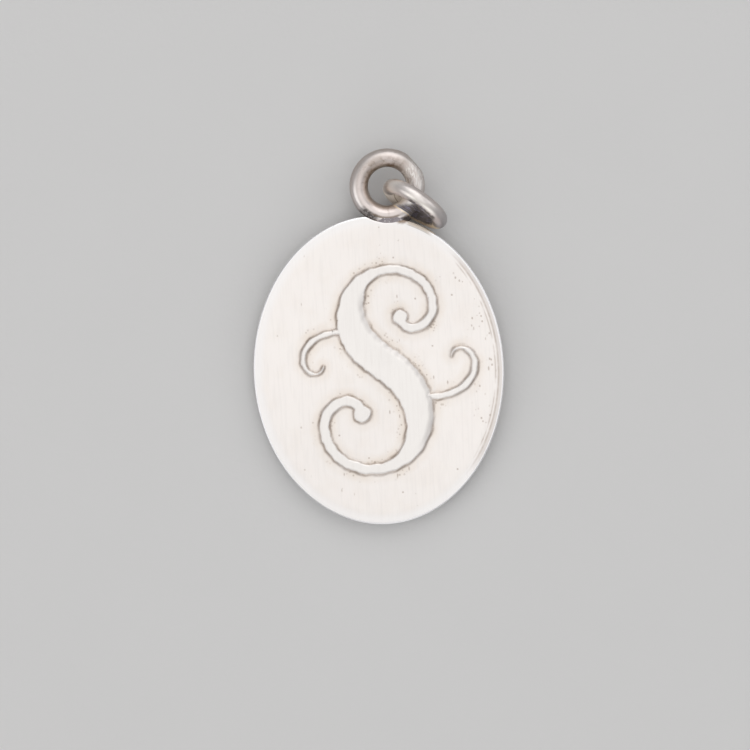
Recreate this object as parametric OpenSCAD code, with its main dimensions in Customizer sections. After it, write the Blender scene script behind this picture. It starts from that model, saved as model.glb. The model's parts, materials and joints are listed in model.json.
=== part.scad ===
// Oval silver pendant with a raised initial, a soldered loop and a jump ring.
// Millimetres. It lies face up as it would on a table: +X to the right of the face,
// +Y towards the loop, +Z up. The origin is on the table, under the middle of the whole.

/* [Plate] */
// Width of the oval plate
plate_w = 18.0; // [16:0.5:24]
// Height of the oval plate, without its loop
plate_h = 22.2; // [18:0.2:30]
// Thickness of the plate
plate_t = 1.2; // [0.9:0.1:2]
// Radius that softens the plate's front and back edges
edge_r = 0.3; // [0.1:0.05:0.4]

/* [Initial] */
// Height of the raised initial
initial_h = 15.0; // [9:0.5:16]
// Width of its thick stroke
stem_w = 2.5; // [1.2:0.1:3]
// Width of its thin strokes
thin_w = 0.78; // [0.4:0.02:1]
// Width of its two tendrils where they are fullest
tendril_w = 0.56; // [0.3:0.02:0.8]
// Diameter of the bead at the end of each curl
bead_d = 1.3; // [0.8:0.05:1.8]
// Height of the initial above the face
relief_h = 0.2; // [0.1:0.05:0.5]

/* [Loop] */
// Thickness of the loop's round wire
loop_wire_d = 1.33; // [1:0.01:1.6]
// Width of the hole in the loop
loop_hole_d = 2.75; // [2.4:0.05:4]
// Distance of the loop to the right of the plate's middle
loop_offset = 1.3; // [0:0.1:2]
// Depth that the loop's wire is let into the plate's edge
loop_sink = 0.55; // [0.3:0.05:0.8]
// Depth that the solder joins the wire and the plate inside that seat
solder_bite = 0.15; // [0.1:0.01:0.3]

/* [Jump ring] */
// Thickness of the jump ring's round wire
ring_wire_d = 1.1; // [0.8:0.05:1.4]
// Width of the opening in the jump ring
ring_hole_d = 3.1; // [3:0.1:5]
// Space left between the ring's wire and the loop's wire
link_gap = 0.12; // [0.05:0.01:0.3]
// Share of the leaning ring's foot that is, in plan, under the edge of the propped plate
ring_tuck = 0.2; // [0:0.01:0.45]
// Turn of the ring from straight out of the loop, towards the plate
ring_skew = -2; // [-6:1:12]
// Lean of the ring's top from upright, towards the upper right
ring_lean = 11.5; // [0:0.5:15]
// Angle from the ring's lowest point to where the loop's wire lies in it
ring_swing = 28; // [0:1:40]

/* [Hidden] */
$fn = 96;

// The oval is four arcs that meet without a corner: two ends and two sides
half_w = plate_w / 2;
half_h = plate_h / 2;
half_diagonal = norm([half_w, half_h]);
end_r = half_diagonal * (half_diagonal - (half_h - half_w)) / plate_h;
side_r = half_diagonal * (half_diagonal + (half_h - half_w)) / plate_w;
end_y = half_h - end_r;
side_x = side_r - half_w;
arc_split = atan2(half_w, half_h);

// The loop lies flat with its back level with the plate's back
loop_r = (loop_hole_d + loop_wire_d) / 2;
loop_outer_r = loop_r + loop_wire_d / 2;
edge_at_loop = end_y + sqrt(end_r ^ 2 - loop_offset ^ 2);
loop_centre = [loop_offset, edge_at_loop + loop_outer_r - loop_sink, loop_wire_d / 2];

// Distance between the middles of the two wires inside the ring. The wire passes a
// leaning ring at a slant and takes a little more room in it
ring_r = (ring_hole_d + ring_wire_d) / 2;
slant_room = loop_wire_d * sin(ring_lean) ^ 2;
link_drop = ring_hole_d / 2 - loop_wire_d / 2 - slant_room - link_gap;

// The ring lies down towards the plate until a share of its foot is under the edge.
// That sets its bearing, which is below the +X axis
foot_reach = ring_r * sin(ring_lean);
ring_from_link = link_drop * cos(ring_swing) * sin(ring_lean);
end_to_loop = [loop_centre.x, loop_centre.y - end_y];
ring_from_end = end_r + ring_wire_d / 2 + (1 - ring_tuck) * foot_reach;
link_from_end = ring_from_end - ring_from_link;
ring_bearing = atan2(end_to_loop.x, end_to_loop.y)
    + acos((link_from_end - loop_r * sin(ring_skew)) / norm(end_to_loop));

// The ring goes round the loop's wire at this point of the wire's middle line
link_bearing = ring_bearing - ring_skew;
link_point = loop_centre + loop_r * [cos(link_bearing), -sin(link_bearing), 0];

// The ring stands on the table and holds the loop's wire at this height
ring_centre_z = ring_r * cos(ring_lean) + ring_wire_d / 2;
link_point_z = ring_centre_z - link_drop * cos(ring_swing) * cos(ring_lean);

// The plate touches the table at one place of its lower end. That place, the plate's
// middle and the propped wire are in one line, so that the pendant lies in balance
foot_r = end_r - edge_r;
prop = [link_point.x, link_point.y];
prop_from_end = prop + [0, end_y];
towards_foot = -prop / norm(prop);
foot_along = -prop_from_end * towards_foot
    + sqrt((prop_from_end * towards_foot) ^ 2 - prop_from_end * prop_from_end + foot_r ^ 2);
foot = prop + foot_along * towards_foot;
slope = ([0, -end_y] - foot) / foot_r;
slope_run = foot_r + prop_from_end * slope;
slope_rise = loop_wire_d / 2 - edge_r;
rest_tilt = asin((link_point_z - edge_r) / norm([slope_run, slope_rise])) - atan2(slope_rise, slope_run);
rest_axis = [slope.y, -slope.x, 0];
rest_z = (foot_r + end_y * slope.y) * sin(rest_tilt) + edge_r * (1 - cos(rest_tilt));

// A point of the flat pendant after the tilt, and where it then lies on the table
function tilted(p) = p * cos(rest_tilt) + cross(rest_axis, p) * sin(rest_tilt)
    + rest_axis * (rest_axis * p) * (1 - cos(rest_tilt));
function at_rest(p) = tilted(p) + rest_shift;
plate_end = tilted([0, -half_h, plate_t - edge_r]);
loop_end = tilted(loop_centre + [0, loop_outer_r, 0]);
rest_shift = [0, -(plate_end.y + loop_end.y) / 2, rest_z];

// Each row is one arc of the S: its radius as a share of the initial's height, and its turn.
// The rows run from the middle of the S down to the curl's bead
ARC_R = 0;
ARC_TURN = 1;
scroll_arcs = [
    [0.545, -14],
    [0.279, -66],
    [0.212, -50],
    [0.248, -55],
    [0.194, -55],
    [0.118, -80],
    [0.070, -90],
];
tendril_arcs = [
    [0.262, 48],
    [0.152, 55],
    [0.085, 70],
    [0.047, 110],
];
scroll_heading = -36;
// The S is thick for the first part of its turn and thins out by the end of the second
thick_turn = 8;
thin_turn = 143;
// The tendril leaves the S where that has turned this far, at this angle to it
branch_turn = 28;
branch_angle = 40;
// Where along its turn the tendril is fullest, and what is left of it at its tip
tendril_full = 0.25;
tendril_tip = 0.25;
// Size of the upper half of the S against the lower half
upper_share = 0.86;
// Place of the S's middle on the plate, as shares of its height
initial_at = [0.02, 0.04];
// Largest turn between two points of a stroke
arc_step = 8;
// Depth that the relief goes into the plate, so that both are one metal
relief_root = 0.2;

// Points of a stroke that runs through arcs: x, y, heading and the turn so far
HEADING = 2;
TURN_SO_FAR = 3;
function arc_steps(turn) = ceil(abs(turn) / arc_step);
function left_of(heading) = [-sin(heading), cos(heading)];
function turned_point(point, radius, turn) =
    let (side = sign(turn), heading = point[HEADING])
    let (centre = [point.x, point.y] + side * radius * left_of(heading))
    let (end = centre - side * radius * left_of(heading + turn))
    [end.x, end.y, heading + turn, point[TURN_SO_FAR] + abs(turn)];
function stroke_points(point, arcs, row = 0) =
    row == len(arcs) ? [point] :
    let (radius = arcs[row][ARC_R] * initial_h, turn = arcs[row][ARC_TURN], steps = arc_steps(turn))
    concat(
        [for (i = [0 : steps - 1]) turned_point(point, radius, turn * i / steps)],
        stroke_points(turned_point(point, radius, turn), arcs, row + 1));
function total_turn(arcs, row = 0) =
    row == len(arcs) ? 0 : abs(arcs[row][ARC_TURN]) + total_turn(arcs, row + 1);

// Half widths of the two kinds of stroke after a turn
function scroll_half(turn, stem) =
    let (thinned = min(1, max(0, (turn - thick_turn) / (thin_turn - thick_turn))))
    (thin_w + (stem - thin_w) * (1 + cos(180 * thinned)) / 2) / 2;
function tendril_half(turn) =
    let (along = turn / total_turn(tendril_arcs))
    tendril_w / 2 * (1 - (1 - tendril_tip) * abs(along - tendril_full) / (1 - tendril_full));

scroll = stroke_points([0, 0, scroll_heading, 0], scroll_arcs);
curl_end = scroll[len(scroll) - 1];
branch = [for (point = scroll) if (point[TURN_SO_FAR] >= branch_turn) point][0];
tendril = stroke_points([branch.x, branch.y, branch[HEADING] + branch_angle, 0], tendril_arcs);
tendril_half_widths = [for (point = tendril) tendril_half(point[TURN_SO_FAR])];

module stroke(points, half_widths) {
    left_side = [for (i = [0 : len(points) - 1])
        [points[i].x, points[i].y] + half_widths[i] * left_of(points[i][HEADING])];
    right_side = [for (i = [len(points) - 1 : -1 : 0])
        [points[i].x, points[i].y] - half_widths[i] * left_of(points[i][HEADING])];
    polygon(concat(left_side, right_side));
}

// One half of the S from its middle, where it is as wide as the stem, to its bead
module half_initial(stem) {
    stroke(scroll, [for (point = scroll) scroll_half(point[TURN_SO_FAR], stem)]);
    stroke(tendril, tendril_half_widths);
    translate([curl_end.x, curl_end.y])
        circle(d = bead_d);
}

module initial() {
    translate([initial_at.x * initial_h, initial_at.y * initial_h, plate_t - relief_root])
        linear_extrude(relief_root + relief_h) {
            half_initial(stem_w);
            rotate(180)
                scale(upper_share)
                    half_initial(stem_w / upper_share);
        }
}

// Section through the plate from an arc's centre out to its softened edge
module edge_section(radius) {
    square([radius - edge_r, plate_t]);
    translate([0, edge_r])
        square([radius, plate_t - 2 * edge_r]);
    for (z = [edge_r, plate_t - edge_r])
        translate([radius - edge_r, z])
            circle(edge_r);
}

// The part of the plate inside one arc, from the arc's centre
module arc_sector(radius, middle, spread) {
    rotate(middle - spread)
        rotate_extrude(angle = 2 * spread)
            edge_section(radius);
}

module plate() {
    for (side = [0, 180])
        rotate(side) {
            translate([-side_x, 0])
                arc_sector(side_r, 0, arc_split);
            translate([0, end_y])
                arc_sector(end_r, 90, 90 - arc_split);
        }
}

module loop() {
    translate(loop_centre)
        rotate_extrude()
            translate([loop_r, 0])
                circle(d = loop_wire_d);
}

// Hollow in the plate's edge that the loop is let into
module loop_seat() {
    translate([loop_centre.x, loop_centre.y, -plate_t / 2])
        cylinder(h = 2 * plate_t, r = loop_outer_r - solder_bite);
}

module pendant() {
    color("gainsboro")
        translate(rest_shift)
            rotate(a = rest_tilt, v = rest_axis) {
                difference() {
                    plate();
                    loop_seat();
                }
                initial();
                loop();
            }
}

module jump_ring() {
    color("silver")
        translate(at_rest(link_point))
            rotate(-ring_bearing)
                rotate([-90 - ring_lean, 0, 0])
                    translate([link_drop * sin(ring_swing), -link_drop * cos(ring_swing), 0])
                        rotate_extrude()
                            translate([ring_r, 0])
                                circle(d = ring_wire_d);
}

pendant();
jump_ring();
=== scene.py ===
import json
import math

import bpy
import numpy as np
from mathutils import Matrix, Vector


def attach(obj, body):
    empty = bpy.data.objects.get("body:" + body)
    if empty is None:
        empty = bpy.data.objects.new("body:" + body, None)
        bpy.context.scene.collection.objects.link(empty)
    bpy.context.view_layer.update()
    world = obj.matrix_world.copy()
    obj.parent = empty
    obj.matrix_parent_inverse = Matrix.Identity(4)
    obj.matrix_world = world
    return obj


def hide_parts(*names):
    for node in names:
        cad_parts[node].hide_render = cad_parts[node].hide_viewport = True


bl_info = {
    "name": "Initial pendant",
    "version": (1, 0, 0),
    "blender": (4, 5, 0),
    "location": "View3D > Sidebar > Pendant",
    "description": "Models an oval silver pendant with a raised scroll initial, its loop and its jump ring",
    "category": "Add Mesh",
}

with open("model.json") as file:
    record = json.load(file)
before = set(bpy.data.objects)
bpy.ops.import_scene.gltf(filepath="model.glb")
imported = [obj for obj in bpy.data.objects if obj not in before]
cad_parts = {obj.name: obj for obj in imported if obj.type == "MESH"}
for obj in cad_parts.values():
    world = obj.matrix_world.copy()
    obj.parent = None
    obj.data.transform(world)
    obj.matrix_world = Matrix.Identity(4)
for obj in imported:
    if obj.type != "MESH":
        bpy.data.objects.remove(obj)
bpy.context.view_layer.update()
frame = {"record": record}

MM = 0.001
MICRON = 0.000001
MOUNTS = {mount["name"]: mount for mount in frame["record"]["mounts"]}
BACK = MOUNTS["back"]
CHAIN = MOUNTS["chain_ring"]
UP = Vector((0, 0, 1))

# The pendant is modelled flat, with the middle of its back at the origin. This lays it down
LAID_DOWN = (Matrix.Translation(Vector(BACK["pos_m"]))
             @ UP.rotation_difference(-Vector(BACK["axis"])).to_matrix().to_4x4())

# One half of the S and its tendril: each row is one arc, its radius as a share of the initial's
# height, and its turn in degrees
SCROLL_ARCS = [(0.545, -14), (0.279, -66), (0.212, -50), (0.248, -55),
               (0.194, -55), (0.118, -80), (0.070, -90)]
TENDRIL_ARCS = [(0.262, 48), (0.152, 55), (0.085, 70), (0.047, 110)]
# The scroll's heading in the middle of the S, where it starts
SCROLL_HEADING = -36
# The stroke starts to thin out at the first turn and is thin from the second
THICK_TURN, THIN_TURN = 8, 143
# The turn at which the tendril leaves the scroll, and its angle to it
BRANCH_TURN, BRANCH_ANGLE = 28.67, 40
# How far along the tendril is fullest, and its tip's width as a share of that
TENDRIL_FULL, TENDRIL_TIP = 0.25, 0.25
# Size of the upper half as a share of the lower one, and where the middle of the S lies on the
# face, as shares of the initial's height
UPPER_SHARE = 0.86
INITIAL_AT = (0.02, 0.04)
# The waves by which the outline strays: each has its x and y in radians to the millimetre, its
# phase and its share
STRAYING = ((5.1, 1.7, 0, 1), (-3.3, 6.2, 1, 1), (9.7, -7.9, 2, 0.6))

# Columns and rows of the plate's grid, and how much closer they lie in its middle
GRID = (240, 296)
CROWDING = 0.14
# The ends of the loop's seat are rounded over the first length, and the face gives way to it over
# the second
SEAT_ROUNDING, SEAT_BORDER = 0.12 * MM, 2.4 * MM
# Points round the front and the back edge, and the power that makes the front a worn one
FRONT_POINTS, BACK_POINTS, WORN_POWER = 14, 6, 0.4
# The back is closed inside a border that ends at this share of its half widths
BACK_INSET = 0.985
# Stands for the distance from the initial to what isn't on the face
FAR = 5 * MM
# Where its marks fade in and out again: by bearing on the worn right side, and in millimetres to
# the right of the loop's middle where the edge beside the ring's foot is painted tan
WORN_SIDE, BESIDE_RING = ((-56, -40), (60, 46)), ((1.1, 1.5), (3.1, 2.6))

# Flats of the file on the loop: bearing round it, tilt up from level, and depth as a share of the
# size named filed
FILE_FLATS = ((4, 74, 0.9), (23, 80, 1.0), (40, 72, 0.8), (15, 40, 0.9), (38, 8, 4.2))
# Where its marks fade in and out again: by bearing where it is filed and on its flank, painted dark, and in
# millimetres across the ring where the ring's painted shadow falls on it
FILED, FLANK = ((-8, 2), (48, 38)), ((-146, -138), (-104, -116))
RING_SHADOW_SPAN = (-0.99, -0.93), (0.9, 0.3)
# Bearings of the loop's joint and of the middle of the seam along the solder
JOINT_AT, SEAM_AT = -89, -96
# Section of the solder, in millimetres out from the wire's side and up from the face
FILLET = ((-0.12, 0.02), (0.0, 0.09), (0.07, 0.094), (0.15, 0.065),
          (0.24, 0.03), (0.33, 0.0), (0.39, -0.02), (0.51, -0.14))
# The solder meets the wire this far inside the seat, and the plate this far further out
SOLDER_INSIDE, SOLDER_WIDTH = 0.33 * MM, 0.39 * MM
# Bearings round the loop of the solder's middle and spread, of the notch that it fills on the
# right, and of the painted shadow on it there. In the notch it reaches this far past the loop
SOLDER_MIDDLE, SOLDER_SPREAD = -88, 31
NOTCH, NOTCH_SHADOW = (-74, -64), (-72, -64)
NOTCH_REACH = 0.12 * MM
# The faint step where the ring was closed: bearing and width in degrees, and depth
STEP_AT, STEP_WIDTH, STEP_DEPTH = 97, 1.6, 0.012 * MM

# Lights: place and width in metres. Each one's power is the setting of the same name
LIGHTS = {"overhead": ((0, 0, 0.9), 0.9), "window": ((0.06, 0.66, 0.6), 0.9),
          "left_fill": ((-0.7, -0.2, 0.5), 0.7), "right_fill": ((0.75, 0.15, 0.5), 0.6),
          "front_fill": ((0.0, -0.8, 0.33), 0.7)}
# The studio's own light, from level and below (0) to straight above (1)
STUDIO = ((0.0, (0.28, 0.28, 0.29)), (0.35, (0.40, 0.40, 0.41)),
          (0.75, (0.55, 0.55, 0.55)), (1.0, (0.60, 0.60, 0.60)))
FLOOR_WIDTH, FLOOR_GAP = 1.6, 0.01 * MM
# The view is a square of this many pixels and shows the middle of the face at this one
FRAME_PX, SEEN_AT = 750, (378.8, 370.4)


def length(name, description, default):
    """A length that a user can change, with its default in millimetres."""
    return bpy.props.FloatProperty(name=name, description=description, default=default * MM,
                                   precision=6, unit="LENGTH", subtype="DISTANCE")


def colour(name, description, default):
    """A colour that a user can change."""
    return bpy.props.FloatVectorProperty(name=name, description=description, default=default,
                                         size=3, min=0, max=1, subtype="COLOR")


def power(name, description, default):
    """A light's power that a user can change, in watts."""
    return bpy.props.FloatProperty(name=name, description=description, default=default, min=0,
                                   subtype="POWER", unit="POWER")


class PlateSizes(bpy.types.PropertyGroup):
    width: length("Width", "Width of the oval plate", 18.0)
    height: length("Height", "Height of the oval plate, without its loop", 22.2)
    thickness: length("Thickness", "Thickness of the plate", 1.2)
    edge_radius: length("Edge radius", "Radius that softens the front and back edges", 0.3)
    roll_off: length("Roll-off", "How far the face sinks where it meets the edge", 0.018)
    roll_width: length("Roll-off width", "Width of the border that sinks towards the edge", 0.7)


class InitialSizes(bpy.types.PropertyGroup):
    height: length("Height", "Height of the raised initial", 15.0)
    stem: length("Stem", "Width of the thick stroke", 2.5)
    thin: length("Thin strokes", "Width of the thin strokes", 0.78)
    tendril: length("Tendrils", "Width of the tendrils where they are fullest", 0.56)
    bead: length("Bead", "Diameter of the bead at the end of each curl", 1.3)
    relief: length("Relief", "Height of the initial above the face", 0.2)
    wall: length("Wall", "Width of the sloping wall at the initial's outline", 0.18)
    shoulder: length("Shoulder", "Width of the soft shoulder on the right of the thick stroke", 0.5)
    wobble: length("Wobble", "How far the hand-cut outline strays", 0.05)


class WireSizes(bpy.types.PropertyGroup):
    loop_wire: length("Loop wire", "Thickness of the loop's round wire", 1.33)
    loop_hole: length("Loop hole", "Width of the hole in the loop", 2.75)
    loop_offset: length("Loop offset", "Distance of the loop to the right of the plate's middle", 1.3)
    loop_sink: length("Loop sink", "Depth that the loop is let into the plate's edge", 0.55)
    solder_bite: length("Solder bite", "Depth of the solder inside the seat", 0.15)
    filed: length("Filed", "Depth of the filed flats over the loop's closed end", 0.035)
    ring_wire: length("Ring wire", "Thickness of the jump ring's round wire", 1.1)


class SilverColours(bpy.types.PropertyGroup):
    face: colour("Face", "Satin silver of the face", (0.925, 0.879, 0.846))
    raised: colour("Raised", "Satin silver on top of the initial", (0.902, 0.868, 0.838))
    shoulder: colour("Shoulder", "Shade on the soft shoulder of the thick stroke", (0.52, 0.475, 0.475))
    halo: colour("Halo", "Warm tint of the face beside the initial", (0.858, 0.78, 0.708))
    line: colour("Line", "Tarnish in the corner along the outline", (0.46, 0.38, 0.32))
    # Worn, polished edge, painted brighter as a highlight
    rim: colour("Rim", "Bright worn edge", (0.93, 0.92, 0.925))
    wire: colour("Wire", "Polished wire of the loop and the ring", (0.72, 0.645, 0.615))
    # Painted shade on the lower sides of the wires, and a darker stretch inside the plate's right edge
    dull: colour("Dull", "Duller grey-brown silver on the sides of the wires", (0.45, 0.405, 0.385))
    gleam: colour("Gleam", "Cream highlight along the ring", (1.0, 0.95, 0.88))
    brown: colour("Brown", "Brown tarnish on the wire", (0.25, 0.17, 0.11))
    # Painted shadow where the ring covers the loop, in the solder's notch and on the ring's lower half, and
    # painted dark reflection on the loop's flank
    black: colour("Black", "Oldest tarnish, where the ring shelters the wire", (0.105, 0.088, 0.082))
    blue: colour("Blue", "Blue and purple tarnish in the ring", (0.215, 0.195, 0.255))
    # Painted warm highlight along the ring's foot, its left end and the ring's edge on the loop
    gold: colour("Gold", "Warm tint along the foot of the ring", (0.92, 0.76, 0.56))
    worn: colour("Worn", "Tan, scuffed top of the loop", (0.44, 0.38, 0.335))
    # Painted on the plate's edge beside the ring's foot
    tan: colour("Tan", "Rubbed edge of the plate beside the ring", (0.62, 0.52, 0.41))
    # Painted dark reflection at the ring's far end
    slate: colour("Slate", "Darkened far end of the ring", (0.27, 0.26, 0.28))
    solder: colour("Solder", "Grey solder between the loop and the plate", (0.42, 0.38, 0.40))


class StageSettings(bpy.types.PropertyGroup):
    floor: colour("Floor", "Pale floor", (0.66, 0.655, 0.65))
    turn: bpy.props.FloatProperty(name="Turn", description="Turn of the view over the pendant",
                                  default=math.radians(-3.05), subtype="ANGLE", unit="ROTATION")
    view_width: length("View width", "Width of the view at the pendant's face", 53.8)
    distance: length("Distance", "Distance of the camera from the pendant's face", 400)
    overhead: power("Overhead", "Power of the overhead light", 1.0)
    window: power("Window", "Power of the large light above the loop", 2.1)
    left_fill: power("Left fill", "Power of the light on the lower left", 0.9)
    right_fill: power("Right fill", "Power of the light on the right", 0.6)
    front_fill: power("Front fill", "Power of the light below the plate's lower edge", 0.8)


# Shader trees


class Signal:
    """A socket of a shader tree. Sums on it add Math nodes."""

    def __init__(self, shading, socket):
        self.shading = shading
        self.socket = socket

    def math(self, operation, *values):
        return self.shading.node("Math", {"operation": operation}, *values)

    def __add__(self, other):
        return self.math("ADD", self, other)

    def __radd__(self, other):
        return self.math("ADD", other, self)

    def __sub__(self, other):
        return self.math("SUBTRACT", self, other)

    def __rsub__(self, other):
        return self.math("SUBTRACT", other, self)

    def __mul__(self, other):
        return self.math("MULTIPLY", self, other)

    def __rmul__(self, other):
        return self.math("MULTIPLY", other, self)

    def __abs__(self):
        return self.math("ABSOLUTE", self)

    def over(self, other):
        """The larger of the two."""
        return self.math("MAXIMUM", self, other)


class Shading:
    """The shader tree of a material or a world, and the shader at its end."""

    def __init__(self, owner, shader):
        owner.use_nodes = True
        self.tree = owner.node_tree
        self.inputs = self.tree.nodes[shader].inputs

    def node(self, kind, settings=None, *values, out=0, **named):
        """Adds a node: its settings first, then its inputs by order and by name."""
        made = self.tree.nodes.new("ShaderNode" + kind)
        for setting, value in (settings or {}).items():
            if setting == "stops":
                self.set_stops(made.color_ramp.elements, value)
            else:
                setattr(made, setting, value)
        for place, value in [*enumerate(values), *named.items()]:
            self.feed(made.inputs[place], value)
        return Signal(self, made.outputs[out])

    def set_stops(self, stops, wanted):
        """Gives a ramp its places and colours."""
        while len(stops) < len(wanted):
            stops.new(0)
        for stop, (place, shade) in zip(stops, wanted):
            stop.position, stop.color = place, (*shade, 1)

    def feed(self, socket, value):
        """Links a signal to a socket, or sets the socket's own value."""
        if isinstance(value, Signal):
            self.tree.links.new(value.socket, socket)
        elif value is not None:
            socket.default_value = value


class Look(Shading):
    """A material that is painted in layers over one colour."""

    def __init__(self, name, shade):
        self.material = bpy.data.materials.new(name)
        super().__init__(self.material, "Principled BSDF")
        self.shade = shade

    def place(self, stretch):
        """The object's coordinates in millimetres, stretched along each axis."""
        metres = self.node("TexCoord", out="Object")
        return self.node("VectorMath", {"operation": "MULTIPLY"}, metres, tuple(s / MM for s in stretch))

    def noise(self, scale, stretch=(1, 1, 1), detail=2, rough=0.5):
        """Noise with about this many waves to the millimetre."""
        return self.node("TexNoise", Vector=self.place(stretch), Scale=scale, Detail=detail,
                         Roughness=rough)

    def cells(self, scale, stretch=(1, 1, 1)):
        """Distance from scattered points, as a share of their spacing."""
        return self.node("TexVoronoi", {"feature": "F1"}, Vector=self.place(stretch), Scale=scale,
                         out="Distance")

    def step(self, value, low, high):
        """From 0 at low to 1 at high, smoothly. Low may be the larger one."""
        return self.node("MapRange", {"interpolation_type": "SMOOTHSTEP"}, value, low, high, 0.0, 1.0)

    def band(self, value, middle, half_width):
        """1 at the middle and 0 past the half width."""
        return self.step(abs(value - middle), half_width, 0.0)

    def attribute(self, name):
        """A value that the mesh carries."""
        return self.node("Attribute", {"attribute_type": "GEOMETRY", "attribute_name": name}, out="Fac")

    def attributes(self, *names):
        """Some values that the mesh carries."""
        return [self.attribute(name) for name in names]

    def blend(self, share, first, second):
        """A mix of two colours. A Mix node has five other inputs before those for colours."""
        ends = [end if isinstance(end, Signal) else (*end, 1) for end in (first, second)]
        return self.node("Mix", {"data_type": "RGBA"}, share, *[None] * 5, *ends, out=2)

    def paint(self, share, shade):
        """Lays a colour over what is painted so far."""
        self.shade = self.blend(share, self.shade, shade)

    def bump(self, *layers):
        """Stacks bumps, each given as its height in microns and its pattern."""
        normal = None
        for height, pattern in layers:
            normal = self.node("Bump", Strength=1.0, Distance=height * MICRON, Height=pattern,
                               Normal=normal)
        return normal

    def finish(self, roughness, normal, metallic=1.0, anisotropy=0.0):
        """Feeds the shader with what is painted, as bare metal unless told otherwise."""
        finishes = {"Base Color": self.shade, "Roughness": roughness, "Normal": normal,
                    "Metallic": metallic, "Anisotropic": anisotropy}
        for name, value in finishes.items():
            self.feed(self.inputs[name], value)
        return self.material


def darker(shade, share):
    """A colour with this share of its light."""
    return tuple(share * part for part in shade)


def mixed(first, second, share):
    """A colour between two others."""
    return tuple((1 - share) * a + share * b for a, b in zip(first, second))


def clinging_marks(look, relief, patchy):
    """Punch marks and grime that cling to the outside of the outline here and there."""
    specks = look.step(look.cells(3.4), 0.34, 0.2) * look.step(patchy, 0.5, 0.6)
    return look.step(relief, 0.85, 0.25) * look.step(relief, 0.02, 0.1) * specks


def face_marks(look, relief, rim, right, patchy, broken):
    """Sparse pits and short dashes in the face, more of them on the right."""
    pits = look.step(look.cells(1.0), 0.1, 0.05) * look.step(broken, 0.46, 0.52)
    dashes = look.step(look.cells(0.8, stretch=(1.7, 0.6, 1)), 0.1, 0.045) * look.step(patchy, 0.46, 0.52)
    grains = look.step(look.cells(2.6, stretch=(1.2, 0.9, 1)), 0.26, 0.14)
    peppered = grains * right * look.step(patchy, 0.5, 0.58) * look.step(rim, 2.4, 1.6)
    return pits.over(dashes).over(peppered) * look.step(rim, 0.5, 0.7) * look.step(relief, 0.05, 0.3)


def worn_lines(look, rim, patchy, broken):
    """Two worn lines just inside the edge."""
    inner = look.band(rim, 0.63, 0.09) * look.step(patchy, 0.42, 0.6) * 0.8
    outer = look.band(rim, 0.42, 0.11) * (0.55 + 0.45 * look.step(broken, 0.3, 0.62))
    return inner.over(outer)


def satin_look(colours):
    """Brushed satin silver of the plate, with tarnish along the initial and a rim that is worn bright and
    painted brighter as a highlight.
    """
    look = Look("satin_silver_plate", colours.face)
    relief, rim, front, right = look.attributes("relief_distance", "rim_distance", "front", "right_side")
    patchy = look.noise(0.55, detail=3)
    broken = look.noise(1.7, detail=4, rough=0.6)

    # The top of the initial is cooler, the face beside it is warm, the corner is brown
    top = look.step(relief, 0.0, -0.12) * front
    near = look.step(relief, 0.9, 0.0) * (0.35 + 0.9 * look.step(patchy, 0.3, 0.7)) * front
    wide = look.step(patchy, 0.45, 0.75) * 0.22
    look.paint(near.over(wide) * (1 - top), colours.halo)
    look.paint(top, colours.raised)
    corner = look.band(relief + 0.16 * broken, 0.12, 0.19)
    worn = (0.25 + 0.75 * look.step(broken, 0.35, 0.6)) * (0.45 + 0.55 * look.step(patchy, 0.4, 0.6))
    look.paint(corner * worn * front * 0.8, colours.line)
    clinging = clinging_marks(look, relief, patchy)
    look.paint(clinging * front * 0.6, colours.line)
    # Painted shade on the soft shoulder of the thick stroke
    look.paint(look.attribute("shoulder") * 0.4, colours.shoulder)

    # The face is brushed and pitted
    streaks = look.step(look.noise(1.0, stretch=(6, 0.3, 6)), 0.45, 0.7)
    look.paint(streaks * front * 0.28, darker(colours.face, 0.88))
    marks = face_marks(look, relief, rim, right, patchy, broken)
    look.paint(marks * 0.6, colours.line)

    # The edge is worn bright all round and painted brighter as a highlight, softly so on the left and below,
    # after a darker stretch and two lines on the right
    lines = worn_lines(look, rim, patchy, broken) * right * front
    look.paint(look.step(rim, 0.44, 0.36) * right * front * 0.3, colours.dull)
    look.paint(lines * 0.62, colours.line)
    bright = look.step(rim, 0.2, 0.12)
    soft_rim_highlight = look.step(rim, 0.95, 0.3) * (1 - right) * front * 0.5
    look.paint(bright.over(soft_rim_highlight), colours.rim)

    # Beside the ring's foot the edge is painted tan with a brown line, and the pocket beside the loop gets
    # painted shadow
    rubbed, pocket = look.attributes("rubbed", "pocket")
    tan_patch = rubbed * look.step(rim, 0.25, 0.19)
    look.paint(tan_patch * (0.6 + 0.4 * broken), colours.tan)
    look.paint(rubbed * look.band(rim, 0.27, 0.08) * 0.45, colours.brown)
    look.paint(pocket * 0.85, colours.brown)

    brush = look.noise(1.0, stretch=(13, 0.45, 13), detail=3, rough=0.6)
    fine_brush = look.noise(1.0, stretch=(30, 1.6, 30))
    scratches = look.step(look.noise(1.0, stretch=(3.0, 0.35, 3.0), detail=0), 0.71, 0.74)
    satin = 1 - bright
    roughness = 0.27 + 0.09 * satin + 0.10 * brush * satin + 0.16 * corner * front
    normal = look.bump((1.6, brush * satin), (0.8, fine_brush * satin), (-6, marks.over(clinging) * satin),
                       (-2, scratches * look.step(rim, 0.0, 0.5)), (-8, lines))
    return look.finish(roughness, normal, metallic=1 - 0.6 * tan_patch, anisotropy=0.25)


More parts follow.
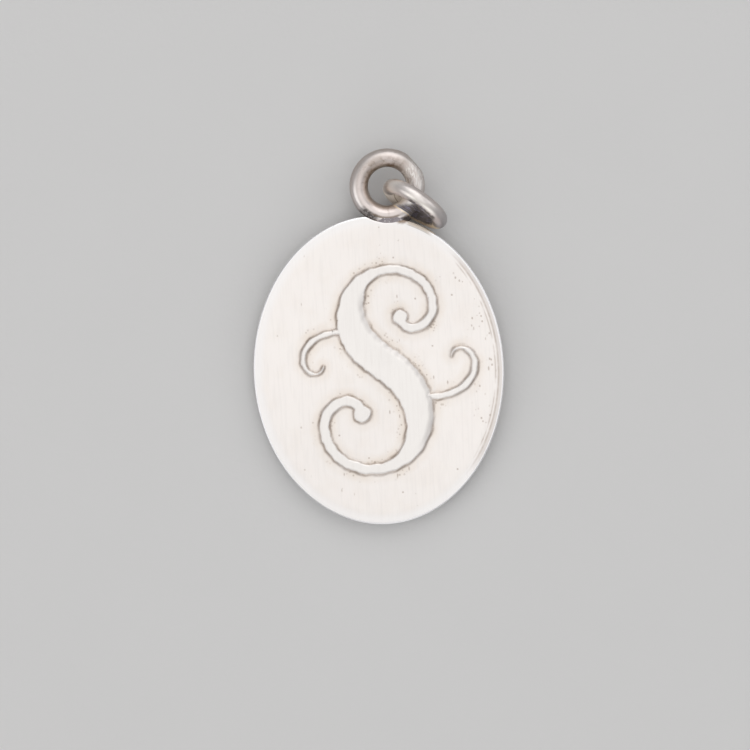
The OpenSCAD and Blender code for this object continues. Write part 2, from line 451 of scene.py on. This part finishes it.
def wire_look(name, colours):
    """Polished silver wire, faintly mottled: the look, its sides that get painted shade, and its three
    noises.
    """
    look = Look(name, colours.wire)
    sides = look.step(look.attribute("facing_up"), 0.8, 0.45) * 0.65
    patchy = look.noise(0.8, detail=3)
    broken = look.noise(2.6, detail=4, rough=0.6)
    scuffs = look.noise(1.0, stretch=(2, 9, 5), detail=3, rough=0.6)
    look.paint(look.step(broken, 0.35, 0.75) * 0.35, darker(colours.wire, 0.9))
    return look, sides, patchy, broken, scuffs


def streaked_shadow(look, colours, along, across, around, blue_from):
    """Black painted shadow, blue where a noise that streaks on the three values passes the given level."""
    drawn_out = look.node("CombineXYZ", None, along, across, around)
    streaks = look.node("TexNoise", Vector=drawn_out, Scale=1.6, Detail=3, Roughness=0.6)
    return look.blend(look.step(streaks, blue_from, blue_from + 0.1), colours.black, colours.blue)


def ring_look(colours):
    """The ring's wire, with a broad painted highlight, painted shadow and tarnish on its lower left, and a
    foot painted light and golden as reflection and highlight.
    """
    look, sides, patchy, broken, scuffs = wire_look("ring_wire", colours)
    # Along is the distance from the ring's middle towards the plate's edge. Side is 1 on its upper
    # right and -1 on its lower left. Over is 1 on its upper half
    side, along, over, hole_side = look.attributes("side", "along", "over", "hole_side")
    under = 1 - over
    left_end = look.step(along, -1.25, -2.1)
    lit = left_end.over(over * look.step(side, 0.1, -0.3))
    # Painted shade on the lower sides, kept off where the ring is lit
    look.paint(sides * (1 - 0.8 * lit), colours.dull)
    # The left end is painted warm and light as a highlight
    look.paint(left_end * 0.6, mixed(colours.raised, colours.gold, 0.4))
    # A broad painted highlight over the upper half
    body = look.band(side, 0.1, 0.85) * over
    look.paint(body * 0.55, colours.raised)
    # The far end is painted dark as a reflection
    look.paint(look.step(along, 1.2, 2.5) * 0.6, colours.slate)
    gleam = look.band(side, -0.48, 0.42) * over * look.step(along, -1.6, -0.4) * look.step(along, 2.0, 1.2)
    look.paint(gleam * 0.85, colours.gleam)

    # Painted shadow with tarnish streaks has a ragged border on the lower left, and covers the ring's lower
    # half
    ragged = side + 0.55 * (broken - 0.5)
    flank = look.step(ragged, -0.68, -0.86) * over * look.step(along, -0.75, -0.35)
    below = under * look.step(along, -0.9, -0.6)
    stained = (flank * look.step(along, 1.9, 1.6)).over(below) * (0.8 + 0.2 * look.step(patchy, 0.35, 0.6))
    tint = streaked_shadow(look, colours, along * 1.1, side * 3.4, hole_side * 0.6, 0.52)
    look.paint(stained * 0.94, tint)

    # The foot is painted light on the left as a reflection, with a painted dark line in it, and narrows to a
    # painted golden highlight on the right
    left = look.step(along, -0.4, -1.0)
    pale = under * left
    look.paint(pale * 0.85, mixed(colours.raised, colours.gold, 0.45))
    look.paint(pale * look.band(side, -0.42, 0.1) * 0.75, colours.brown)
    foot = look.step(ragged + 0.3 * left, -0.7, -0.9) * under
    look.paint(foot, colours.gold)

    roughness = 0.25 + 0.1 * scuffs + 0.1 * stained + 0.2 * pale + 0.11 * body
    metallic = 1 - 0.7 * pale.over(foot * 0.8).over(stained)
    return look.finish(roughness, look.bump((3, scuffs), (2, broken)), metallic)


def paint_ring_shadow(look, colours, broken):
    """Paints the wire under the ring lighter as a highlight, then the ring's shadow on it in streaks that run
    with it, and a golden highlight along the ring's edge.
    """
    covered, on_top, ring_along = look.attributes("sheltered", "on_top", "ring_along")
    beside = look.attribute("beside") + 0.12 * (broken - 0.5)
    # Painted highlight on the wire under the ring
    look.paint(covered, colours.raised)
    slanting = ring_along - 1.2 * beside + 0.5 * broken
    sheltered = covered * look.step(beside, -0.9, -0.82) * look.step(slanting, -0.05, 0.5)
    look.paint(sheltered * 0.95, streaked_shadow(look, colours, ring_along * 0.9, beside * 7.0, 0.0, 0.5))
    # Painted golden highlight along the ring's edge
    rubbed = on_top * look.band(beside, -0.93, 0.075)
    rubbed = rubbed * look.step(ring_along, 0.9, 0.1) * look.step(ring_along, -1.4, -1.1)
    look.paint(rubbed * 0.95, colours.gold)
    return sheltered


def loop_look(colours):
    """The loop's wire, stained along its hole, tan above, and filed bright where it was closed."""
    look, sides, patchy, broken, scuffs = wire_look("loop_wire", colours)
    hole_side, upper, filed, flank, joint, seam = look.attributes("hole_side", "upper", "filed", "flank",
                                                                  "joint", "seam")
    # Painted shade on the lower sides of the wire
    look.paint(sides, colours.dull)
    stained = look.step(hole_side, 0.25, 0.85) * (0.25 + 0.75 * upper)
    look.paint(stained * (0.3 + 0.7 * look.step(broken, 0.35, 0.6)) * 0.85, colours.brown)
    look.paint(upper * (0.2 + 0.4 * look.step(patchy, 0.35, 0.6)), colours.worn)
    # A lighter band on the outer half is a painted highlight
    look.paint(look.band(hole_side, -0.52, 0.42) * (0.5 - 0.2 * upper), colours.raised)
    grime = upper * look.step(hole_side, -0.5, 0.3) * look.step(broken, 0.5, 0.62)
    look.paint(grime * 0.4, colours.brown)
    files = look.noise(1.0, stretch=(9, 2.2, 4))
    look.paint(filed * (0.35 + 0.65 * look.step(files, 0.5, 0.56)) * 0.85, colours.raised)
    # Painted dark reflection on the lower left flank
    broken_shade = look.step(look.noise(6.0, detail=3), 0.4, 0.56)
    look.paint(flank * (0.55 + 0.45 * broken_shade) * 0.88, colours.black)
    sheltered = paint_ring_shadow(look, colours, broken)
    look.paint(joint * 0.35, colours.brown)
    look.paint(seam * 0.8, colours.brown)

    roughness = 0.25 + 0.08 * scuffs + 0.12 * filed + 0.15 * sheltered + 0.1 * upper
    normal = look.bump((2.5, scuffs), (1.5, files * filed), (-10, joint))
    return look.finish(roughness, normal, metallic=1 - 0.7 * sheltered)


def solder_look(colours):
    """Grey solder with a grainy skin, darker specks and light specks painted as glints."""
    look = Look("grey_solder", colours.solder)
    grain = look.noise(5.0, detail=4, rough=0.6)
    look.paint(look.step(look.noise(1.6), 0.4, 0.65) * 0.5, darker(colours.solder, 0.62))
    # Light specks in the grain are painted glints
    look.paint(look.step(grain, 0.56, 0.64) * 0.6, colours.raised)
    look.paint(look.step(grain, 0.42, 0.34) * 0.6, colours.brown)
    # Painted shadow on the solder's end in the notch
    look.paint(look.attribute("stained") * 0.95, colours.black)
    return look.finish(0.4 + 0.15 * grain, look.bump((12, grain)))


def floor_look(settings):
    """Pale matt floor with a faint mottle."""
    look = Look("pale_floor", settings.floor)
    look.paint(look.noise(0.12, detail=5, rough=0.6) * 0.35, darker(settings.floor, 0.93))
    return look.finish(0.75, look.bump((20, look.noise(1.5, detail=4))), metallic=0.0)


# Meshes


def deselect():
    bpy.ops.object.select_all(action="DESELECT")


def pick(piece):
    """Selects one piece alone and makes it the active one."""
    deselect()
    piece.select_set(True)
    bpy.context.view_layer.objects.active = piece


def edit(piece):
    """Opens one piece in edit mode, with all of it selected."""
    pick(piece)
    bpy.ops.object.mode_set(mode="EDIT")
    bpy.ops.mesh.select_all(action="SELECT")


def close_edit():
    """Leaves edit mode."""
    bpy.ops.object.mode_set(mode="OBJECT")


def read_points(piece):
    """The mesh's points, as rows of x, y and z."""
    points = np.empty(len(piece.data.vertices) * 3)
    piece.data.vertices.foreach_get("co", points)
    return points.reshape(-1, 3)


def write_points(piece, points):
    """Moves the mesh's points."""
    piece.data.vertices.foreach_set("co", points.ravel())
    piece.data.update()


def carry(piece, **layers):
    """Gives the mesh values at each of its points, by name, for its material."""
    for name, values in layers.items():
        layer = piece.data.attributes.new(name, "FLOAT", "POINT")
        layer.data.foreach_set("value", np.asarray(values, dtype=np.float32))


def smooth_step(value, low, high):
    """From 0 at low to 1 at high, smoothly. Low may be the larger one."""
    share = np.clip((value - low) / (high - low), 0, 1)
    return share * share * (3 - 2 * share)


def span(value, rise, fall):
    """Fades in over the first pair of values and out again over the second."""
    return smooth_step(value, *rise) * smooth_step(value, *fall)


def polar(points):
    """Distance of each point from the upright axis, and its bearing in degrees."""
    return np.hypot(points[:, 0], points[:, 1]), np.degrees(np.arctan2(points[:, 1], points[:, 0]))


def apply_place(piece):
    """Moves the object's place and turn into its mesh."""
    pick(piece)
    bpy.ops.object.transform_apply(location=True, rotation=True, scale=True)


def lay_down(piece):
    """Takes a piece that was modelled flat to where it lies on the table."""
    piece.matrix_world = LAID_DOWN
    apply_place(piece)


def hand_over(piece, name, node, material):
    """Names and smooths the piece, gives it its material and tells the frame what it stands for."""
    pick(piece)
    bpy.ops.object.shade_smooth()
    piece.name = piece.data.name = name
    piece.data.materials.clear()
    piece.data.materials.append(material)
    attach(piece, "root")
    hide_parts(node)


def to_middle(radius, heading):
    """The way from a point on an arc to the arc's middle, on the left for a radius above 0."""
    return radius * np.array((-math.sin(math.radians(heading)), math.cos(math.radians(heading))))


def along_arcs(point, heading, arcs, size):
    """Points along a run of arcs: x, y, heading and the turn so far, a degree apart."""
    turned = 0.0
    rows = []
    for share, turn in arcs:
        side = math.copysign(1, turn)
        radius = side * share * size
        middle = point + to_middle(radius, heading)
        for step in range(abs(turn)):
            now = heading + side * step
            rows.append((*(middle - to_middle(radius, now)), now, turned + step))
        heading += turn
        turned += abs(turn)
        point = middle - to_middle(radius, heading)
    rows.append((*point, heading, turned))
    return np.array(rows)


def half_initial(sizes, stem):
    """Discs that cover one half of the S and its tendril: x, y and radius."""
    scroll = along_arcs((0, 0), SCROLL_HEADING, SCROLL_ARCS, sizes.height)
    thinned = np.clip((scroll[:, 3] - THICK_TURN) / (THIN_TURN - THICK_TURN), 0, 1)
    widths = sizes.thin + (stem - sizes.thin) * (1 + np.cos(np.pi * thinned)) / 2
    branch = scroll[np.searchsorted(scroll[:, 3], BRANCH_TURN)]
    tendril = along_arcs(branch[:2], branch[2] + BRANCH_ANGLE, TENDRIL_ARCS, sizes.height)
    along = tendril[:, 3] / tendril[-1, 3]
    fullness = 1 - (1 - TENDRIL_TIP) * np.abs(along - TENDRIL_FULL) / (1 - TENDRIL_FULL)
    discs = [np.column_stack((scroll[:, :2], widths / 2)),
             np.column_stack((tendril[:, :2], sizes.tendril / 2 * fullness)),
             [(*scroll[-1, :2], sizes.bead / 2)]]
    return np.vstack(discs)


def initial_discs(sizes):
    """Discs that cover the whole initial, in its place on the face."""
    lower = half_initial(sizes, sizes.stem)
    upper = half_initial(sizes, sizes.stem / UPPER_SHARE) * (-UPPER_SHARE, -UPPER_SHARE, UPPER_SHARE)
    discs = np.vstack((lower, upper))
    discs[:, :2] += np.array(INITIAL_AT) * sizes.height
    return discs


def from_outline(xy, discs, wobble):
    """Distance of each point outside the outline, the way out, and the radius of the nearest disc."""
    distance = np.full(len(xy), np.inf)
    nearest = np.zeros(len(xy), dtype=int)
    for index, (x, y, radius) in enumerate(discs):
        reach = np.hypot(xy[:, 0] - x, xy[:, 1] - y) - radius
        closer = reach < distance
        distance[closer] = reach[closer]
        nearest[closer] = index
    away = xy - discs[nearest, :2]
    away /= np.maximum(np.hypot(*away.T), 1e-9)[:, None]
    x, y = xy.T / MM
    stray = sum(share * np.sin(a * x + b * y + phase) for a, b, phase, share in STRAYING)
    return distance + wobble * stray / sum(wave[3] for wave in STRAYING), away, discs[nearest, 2]


def loop_place(plate, wires):
    """Middle of the loop when the pendant is flat, and its outer radius."""
    half_w, half_h = plate.width / 2, plate.height / 2
    diagonal = math.hypot(half_w, half_h)
    end_r = diagonal * (diagonal - (half_h - half_w)) / plate.height
    edge = half_h - end_r + math.sqrt(end_r ** 2 - wires.loop_offset ** 2)
    outer = wires.loop_hole / 2 + wires.loop_wire
    return (wires.loop_offset, edge + outer - wires.loop_sink, wires.loop_wire / 2), outer


def plate_outline(square, plate, wires):
    """Takes points from -1 to 1 to the flat of the oval face, with the loop's seat let in."""
    gathered = square * (1 - CROWDING + CROWDING * square * square)
    half_w = plate.width / 2 - plate.edge_radius
    half_h = plate.height / 2 - plate.edge_radius
    x = gathered[:, 0] * np.sqrt(1 - gathered[:, 1] ** 2 / 2) * half_w
    y = gathered[:, 1] * np.sqrt(1 - gathered[:, 0] ** 2 / 2) * half_h
    centre, outer = loop_place(plate, wires)
    seat = outer - wires.solder_bite + plate.edge_radius
    top = half_h * np.sqrt(np.clip(1 - (x / half_w) ** 2, 0, 1))
    bottom = centre[1] - np.sqrt(np.clip(seat ** 2 - (x - centre[0]) ** 2, 0, None))
    spare = np.clip(0.5 + 0.5 * (bottom - top) / SEAT_ROUNDING, 0, 1)
    cut = bottom + (top - bottom) * spare - SEAT_ROUNDING * spare * (1 - spare)
    depth = np.where(np.abs(x - centre[0]) < seat, np.clip(top - cut, 0, None), 0)
    return np.column_stack((x, y - depth * smooth_step(y, top - SEAT_BORDER, top)))


def to_rim(xy, plate):
    """Distance of each point inside the oval."""
    scaled = xy / (plate.width / 2, plate.height / 2)
    share = np.maximum(np.hypot(*scaled.T), 1e-6)
    slope = np.hypot(*(scaled / (plate.width / 2, plate.height / 2)).T) / share
    return (1 - share) / np.maximum(slope, 1e-6)


def snap_to_wall(xy, discs, plate, initial):
    """Moves the nearest points onto the foot and the top of the initial's wall, so that both are crisp."""
    half_cell = plate.width / GRID[0] / 2
    inside = to_rim(xy, plate) > 1.5 * plate.edge_radius
    for level in (initial.wall / 2, -initial.wall / 2):
        distance, away, _ = from_outline(xy, discs, initial.wobble)
        off = level - distance
        near = inside & (np.abs(off) < half_cell)
        xy[near] += off[near, None] * away[near]


def relief_shares(distance, away, radius, initial):
    """Height of each point as a share of the relief, and its part in the soft shoulder.

    The wall rises at once, but on the right of the thick stroke its last part rises gently."""
    thick = smooth_step(radius / MM, 0.55, 1.0)
    gentle = thick * smooth_step(away[:, 0] + 0.35 * away[:, 1], 0.25, 0.8)
    wall = smooth_step(-distance, -initial.wall / 2, initial.wall / 2)
    eased = smooth_step(-distance, -initial.wall / 2, initial.shoulder)
    shoulder = gentle * smooth_step(-distance, 0, initial.wall) * smooth_step(distance, -initial.shoulder, 0)
    return wall * (1 - gentle) + gentle * (0.45 * wall + 0.55 * eased), shoulder


def raise_relief(piece, shares, relief):
    """Displaces the face upwards by each point's share of the relief."""
    group = piece.vertex_groups.new(name="relief")
    for index in np.flatnonzero(shares > 0):
        group.add([int(index)], float(shares[index]), "REPLACE")
    displace = piece.modifiers.new("Relief", "DISPLACE")
    displace.direction, displace.vertex_group = "Z", "relief"
    displace.mid_level, displace.strength = 0.0, relief
    bpy.ops.object.modifier_apply(modifier=displace.name)
    piece.vertex_groups.clear()


def extrude_border(before, after, drop):
    """Extrudes the selected border from one pair of half widths to the next, and down."""
    bpy.ops.mesh.extrude_region_move(TRANSFORM_OT_translate={"value": (0, 0, -drop)})
    bpy.ops.transform.resize(value=(after[0] / before[0], after[1] / before[1], 1), center_override=(0, 0, 0))


def extrude_edge(piece, plate):
    """Takes the border of the face round the edge to the back, and closes the back."""
    radius = plate.edge_radius
    flat = (plate.width / 2 - radius, plate.height / 2 - radius)
    front_turns, back_turns = (np.radians(np.linspace(0, 90, steps)) for steps in (FRONT_POINTS, BACK_POINTS))
    # The front edge is worn: it falls away gently and turns down at the last moment
    straight = plate.thickness - plate.roll_off - 2 * radius
    profile = [(radius * math.sin(a) ** WORN_POWER,
                radius + straight + radius * max(math.cos(a), 0) ** WORN_POWER) for a in front_turns]
    profile += [(radius * math.cos(a), radius - radius * math.sin(a)) for a in back_turns]
    edit(piece)
    bpy.ops.mesh.select_mode(type="EDGE")
    bpy.ops.mesh.select_all(action="DESELECT")
    bpy.ops.mesh.select_non_manifold(extend=False, use_wire=False, use_boundary=True,
                                     use_multi_face=False, use_non_contiguous=False, use_verts=False)
    for (out, up), (next_out, next_up) in zip(profile, profile[1:]):
        extrude_border([side + out for side in flat], [side + next_out for side in flat], up - next_up)
    extrude_border(flat, [BACK_INSET * side for side in flat], 0)
    bpy.ops.mesh.edge_face_add()
    bpy.ops.mesh.select_all(action="SELECT")
    bpy.ops.mesh.normals_make_consistent(inside=False)
    close_edit()


def carry_plate(piece, plate, wires):
    """Gives the plate the values that follow from its points' places, lengths in millimetres."""
    points = read_points(piece)
    rim = to_rim(points[:, :2], plate) / MM
    _, bearing = polar(points)
    centre, outer = loop_place(plate, wires)
    from_loop = (polar(points - centre)[0] - outer) / MM
    right_of_loop = (points[:, 0] - centre[0]) / MM * (points[:, 1] > 0)
    beside_loop = smooth_step(right_of_loop, 0.3, 0.8) * smooth_step(from_loop, 0.3, 0.12)
    carry(piece, rim_distance=rim, front=smooth_step(points[:, 2] / plate.thickness, 0.5, 0.75),
          right_side=span(bearing, *WORN_SIDE), rubbed=span(right_of_loop, *BESIDE_RING),
          pocket=beside_loop * smooth_step(rim, 0.4, 0.25))


def model_plate(plate, initial, wires):
    """The plate with its relief, as a fine grid whose border is extruded round the edge."""
    deselect()
    bpy.ops.mesh.primitive_grid_add(x_subdivisions=GRID[0], y_subdivisions=GRID[1], size=2)
    piece = bpy.context.object
    xy = plate_outline(read_points(piece)[:, :2], plate, wires)
    discs = initial_discs(initial)
    snap_to_wall(xy, discs, plate, initial)
    distance, away, radius = from_outline(xy, discs, initial.wobble)
    shares, shoulder = relief_shares(distance, away, radius, initial)
    sunk_from = plate.edge_radius + plate.roll_width
    sunk = plate.roll_off * smooth_step(to_rim(xy, plate), sunk_from, plate.edge_radius)
    write_points(piece, np.column_stack((xy, plate.thickness - sunk)))
    raise_relief(piece, shares, initial.relief)
    extrude_edge(piece, plate)
    added = len(piece.data.vertices) - len(distance)
    carry(piece, relief_distance=np.append(distance, np.full(added, FAR)) / MM,
          shoulder=np.append(shoulder, np.zeros(added)))
    carry_plate(piece, plate, wires)
    return piece


def ring_directions():
    """Level directions across the ring, to the upper right, and along it, to the lower right."""
    across = Vector((CHAIN["axis"][0], CHAIN["axis"][1], 0)).normalized()
    return np.array(across), np.array((across.y, -across.x, 0))


def carry_loop(piece, points, centre, tube, half_wire):
    """Gives the loop what its look reads, from points that are measured from its middle."""
    radial, bearing = polar(points)
    outwards = (radial - tube) / MM
    on_top = smooth_step(points[:, 2] / MM, 0.05, 0.35)
    joint = smooth_step(np.abs(bearing - JOINT_AT), 1.6, 0.4) * smooth_step(outwards, 0.2, -0.1)
    seam = smooth_step(np.abs(bearing - SEAM_AT), 30, 22) * smooth_step(np.abs(outwards - 0.2), 0.09, 0.02)
    carry(piece, on_top=on_top, facing_up=points[:, 2] / half_wire, hole_side=(tube - radial) / half_wire,
          upper=smooth_step(points[:, 1] / tube, -0.3, 0.5), filed=on_top * span(bearing, *FILED),
          flank=span(bearing, *FLANK) * smooth_step(outwards, 0.0, 0.2),
          joint=on_top * joint, seam=on_top * seam)
    turn, place = np.array(LAID_DOWN.to_3x3()), np.array(LAID_DOWN.translation)
    from_ring = ((points + centre) @ turn.T + place - CHAIN["pos_m"]) / MM
    beside, ring_along = (from_ring @ direction for direction in ring_directions())
    carry(piece, beside=beside, ring_along=ring_along,
          sheltered=span(beside, *RING_SHADOW_SPAN) * smooth_step(np.abs(ring_along), 2.2, 1.8))


def model_loop(plate, wires):
    """The loop's ring of wire, with the flats of a file where it was closed."""
    centre, outer = loop_place(plate, wires)
    half_wire = wires.loop_wire / 2
    tube = outer - half_wire
    deselect()
    bpy.ops.mesh.primitive_torus_add(location=centre, major_segments=168, minor_segments=56,
                                     major_radius=tube, minor_radius=half_wire)
    piece = bpy.context.object
    apply_place(piece)
    points = read_points(piece) - centre
    for bearing, tilt, share in FILE_FLATS:
        around, up = math.radians(bearing), math.radians(tilt)
        out = np.array((math.cos(around), math.sin(around), 0))
        normal = out * math.cos(up) + np.array(UP) * math.sin(up)
        above = (points - out * tube) @ normal - (half_wire - share * wires.filed)
        points -= np.clip(above, 0, None)[:, None] * normal
    write_points(piece, points + centre)
    carry_loop(piece, points, centre, tube, half_wire)
    return piece


def shape_solder(points, middle, outer, wire_side):
    """Thins out the solder's ends and draws them back to the wire, from the loop's middle.

    On the right it fills the notch between the wire and the plate's edge instead."""
    radial, bearing = polar(points)
    thin = 1 - np.clip(np.abs(bearing - SOLDER_MIDDLE) / SOLDER_SPREAD, 0, 1) ** 4
    points[:, 2] = middle + (points[:, 2] - middle) * (0.35 + 0.65 * thin)
    notch = smooth_step(bearing, *NOTCH)
    past_wire = radial - wire_side
    drawn_back = np.clip(past_wire, 0, None) * 0.7 * (1 - thin) * (1 - notch)
    reach = outer + NOTCH_REACH - wire_side - SOLDER_WIDTH
    filled = reach * notch * np.clip(past_wire / SOLDER_WIDTH, 0, 1)
    points[:, :2] *= ((radial - drawn_back + filled) / radial)[:, None]


def model_solder(plate, wires):
    """The solder between the loop and its seat: a hollow fillet, spun round the loop's middle."""
    (x, y, _), outer = loop_place(plate, wires)
    wire_side = outer - wires.solder_bite - SOLDER_INSIDE
    rise = [(wire_side + out * MM, up * MM) for out, up in FILLET]
    # At the back it rises half as high
    profile = [(out, plate.thickness + up) for out, up in rise]
    profile += [(out, -0.5 * up) for out, up in reversed(rise)]
    start = math.radians(SOLDER_MIDDLE - SOLDER_SPREAD)
    deselect()
    bpy.ops.mesh.primitive_circle_add(vertices=len(profile), radius=MM, fill_type="NGON")
    piece = bpy.context.object
    write_points(piece, np.array([(x + out * math.cos(start), y + out * math.sin(start), up)
                                  for out, up in profile]))
    edit(piece)
    bpy.ops.mesh.spin(steps=72, angle=math.radians(2 * SOLDER_SPREAD), center=(x, y, 0),
                      axis=(0, 0, -1), dupli=False)
    close_edit()
    points = read_points(piece) - (x, y, 0)
    shape_solder(points, plate.thickness / 2, outer, wire_side)
    write_points(piece, points + (x, y, 0))
    edit(piece)
    bpy.ops.mesh.remove_doubles(threshold=1e-7)
    bpy.ops.mesh.normals_make_consistent(inside=False)
    close_edit()
    _, bearing = polar(read_points(piece) - (x, y, 0))
    carry(piece, stained=smooth_step(bearing, *NOTCH_SHADOW))
    return piece


def model_ring(wires):
    """The jump ring, round wire that stands through the loop where the frame has it."""
    half_wire = wires.ring_wire / 2
    radius = CHAIN["dims"]["r_mm"] * MM + half_wire
    deselect()
    bpy.ops.mesh.primitive_torus_add(major_segments=144, minor_segments=48, major_radius=radius,
                                     minor_radius=half_wire)
    piece = bpy.context.object
    # A ring that was closed by hand has one faint step where its ends meet
    points = read_points(piece)
    radial, bearing = polar(points)
    core = points * (1, 1, 0) * (radius / radial)[:, None]
    outward = (points - core) / half_wire
    thinned = half_wire - STEP_DEPTH * np.exp(-((bearing - STEP_AT) / STEP_WIDTH) ** 2)
    write_points(piece, core + outward * thinned[:, None])
    middle = Vector(CHAIN["pos_m"])
    turn = UP.rotation_difference(Vector(CHAIN["axis"]).normalized()).to_matrix()
    piece.matrix_world = Matrix.Translation(middle) @ turn.to_4x4()
    apply_place(piece)
    across, along = ring_directions()
    outward = outward @ np.array(turn).T
    from_middle = (read_points(piece) - middle) / MM
    carry(piece, hole_side=(radius - radial) / half_wire, facing_up=outward[:, 2],
          side=outward @ across, along=from_middle @ along, over=smooth_step(from_middle[:, 2], -0.2, 0.3))
    return piece


# Stage


def add_floor(settings):
    """The pale floor, a hair below the pendant."""
    bpy.ops.mesh.primitive_plane_add(size=FLOOR_WIDTH, location=(0, 0, -FLOOR_GAP))
    floor = bpy.context.object
    apply_place(floor)
    floor.name = "floor"
    floor.data.materials.append(floor_look(settings))


def add_light(name, place, width, watts):
    """A round area light that faces the pendant."""
    light = bpy.data.lights.new(name, "AREA")
    light.shape, light.size, light.energy = "DISK", width, watts
    lamp = bpy.data.objects.new(name, light)
    lamp.location = place
    lamp.rotation_euler = (-Vector(place)).to_track_quat("-Z", "Y").to_euler()
    bpy.context.scene.collection.objects.link(lamp)


def add_studio(scene):
    """Plain light from all round, paler from above."""
    scene.world = bpy.data.worlds.new("studio")
    studio = Shading(scene.world, "Background")
    direction = studio.node("TexCoord", out="Generated")
    height = studio.node("SeparateXYZ", None, direction, out="Z")
    studio.feed(studio.inputs["Color"], studio.node("ValToRGB", {"stops": STUDIO}, height))


def add_camera(scene, settings):
    """Looks straight down at the face, turned and set off as the pendant is seen."""
    pixel = settings.view_width / FRAME_PX
    off_centre = Vector(((FRAME_PX / 2 - SEEN_AT[0]) * pixel, (SEEN_AT[1] - FRAME_PX / 2) * pixel, 0))
    face = LAID_DOWN @ Vector((0, 0, scene.pendant_plate.thickness))
    camera = bpy.data.cameras.new("camera")
    camera.sensor_width = 36
    camera.lens = camera.sensor_width * settings.distance / settings.view_width
    camera.clip_start = 0.01
    view = bpy.data.objects.new("camera", camera)
    view.location = face + Matrix.Rotation(settings.turn, 3, "Z") @ off_centre + UP * settings.distance
    view.rotation_euler = (0, 0, settings.turn)
    scene.collection.objects.link(view)
    scene.camera = view


# Operators


class PENDANT_OT_plate(bpy.types.Operator):
    """Models the oval plate with its raised initial"""
    bl_idname = "pendant.plate"
    bl_label = "Plate"

    def execute(self, context):
        scene = context.scene
        piece = model_plate(scene.pendant_plate, scene.pendant_initial, scene.pendant_wires)
        lay_down(piece)
        hand_over(piece, "pendant_plate", "pendant", satin_look(scene.pendant_silver))
        return {"FINISHED"}


class PENDANT_OT_loop(bpy.types.Operator):
    """Models the loop of wire and the solder that holds it in the plate's edge"""
    bl_idname = "pendant.loop"
    bl_label = "Loop and solder"

    def execute(self, context):
        scene = context.scene
        loop = model_loop(scene.pendant_plate, scene.pendant_wires)
        lay_down(loop)
        hand_over(loop, "pendant_loop", "pendant", loop_look(scene.pendant_silver))
        solder = model_solder(scene.pendant_plate, scene.pendant_wires)
        lay_down(solder)
        hand_over(solder, "loop_solder", "pendant", solder_look(scene.pendant_silver))
        return {"FINISHED"}


class PENDANT_OT_ring(bpy.types.Operator):
    """Models the jump ring that stands through the loop"""
    bl_idname = "pendant.ring"
    bl_label = "Jump ring"

    def execute(self, context):
        scene = context.scene
        ring = model_ring(scene.pendant_wires)
        hand_over(ring, "closed_ring", "jump_ring", ring_look(scene.pendant_silver))
        return {"FINISHED"}


class PENDANT_OT_stage(bpy.types.Operator):
    """Adds the floor, the lights and the camera"""
    bl_idname = "pendant.stage"
    bl_label = "Stage"

    def execute(self, context):
        scene = context.scene
        settings = scene.pendant_stage
        deselect()
        add_floor(settings)
        for name, (place, width) in LIGHTS.items():
            add_light(name, place, width, getattr(settings, name))
        add_studio(scene)
        add_camera(scene, settings)
        scene.view_settings.view_transform = "Standard"
        return {"FINISHED"}


class PENDANT_PT_panel(bpy.types.Panel):
    """Lists the steps in the order in which they run"""
    bl_label = "Initial pendant"
    bl_idname = "PENDANT_PT_panel"
    bl_space_type = "VIEW_3D"
    bl_region_type = "UI"
    bl_category = "Pendant"

    def draw(self, context):
        for group_name in GROUPS:
            group = getattr(context.scene, group_name)
            box = self.layout.box()
            for name in group.bl_rna.properties.keys():
                if name not in ("rna_type", "name"):
                    box.prop(group, name)
        for step in STEPS:
            self.layout.operator(step.bl_idname)


GROUPS = {"pendant_plate": PlateSizes, "pendant_initial": InitialSizes, "pendant_wires": WireSizes,
          "pendant_silver": SilverColours, "pendant_stage": StageSettings}
STEPS = (PENDANT_OT_plate, PENDANT_OT_loop, PENDANT_OT_ring, PENDANT_OT_stage)


def register():
    """Makes the settings, the steps and the panel known to Blender."""
    for kind in (*GROUPS.values(), *STEPS, PENDANT_PT_panel):
        bpy.utils.register_class(kind)
    for name, group in GROUPS.items():
        setattr(bpy.types.Scene, name, bpy.props.PointerProperty(type=group))


def unregister():
    """Takes them out again."""
    for name in GROUPS:
        delattr(bpy.types.Scene, name)
    for kind in (PENDANT_PT_panel, *reversed(STEPS), *reversed(GROUPS.values())):
        bpy.utils.unregister_class(kind)


def main():
    """Runs the steps in order."""
    register()
    bpy.ops.pendant.plate()
    bpy.ops.pendant.loop()
    bpy.ops.pendant.ring()
    bpy.ops.pendant.stage()


if __name__ == "__main__":
    main()
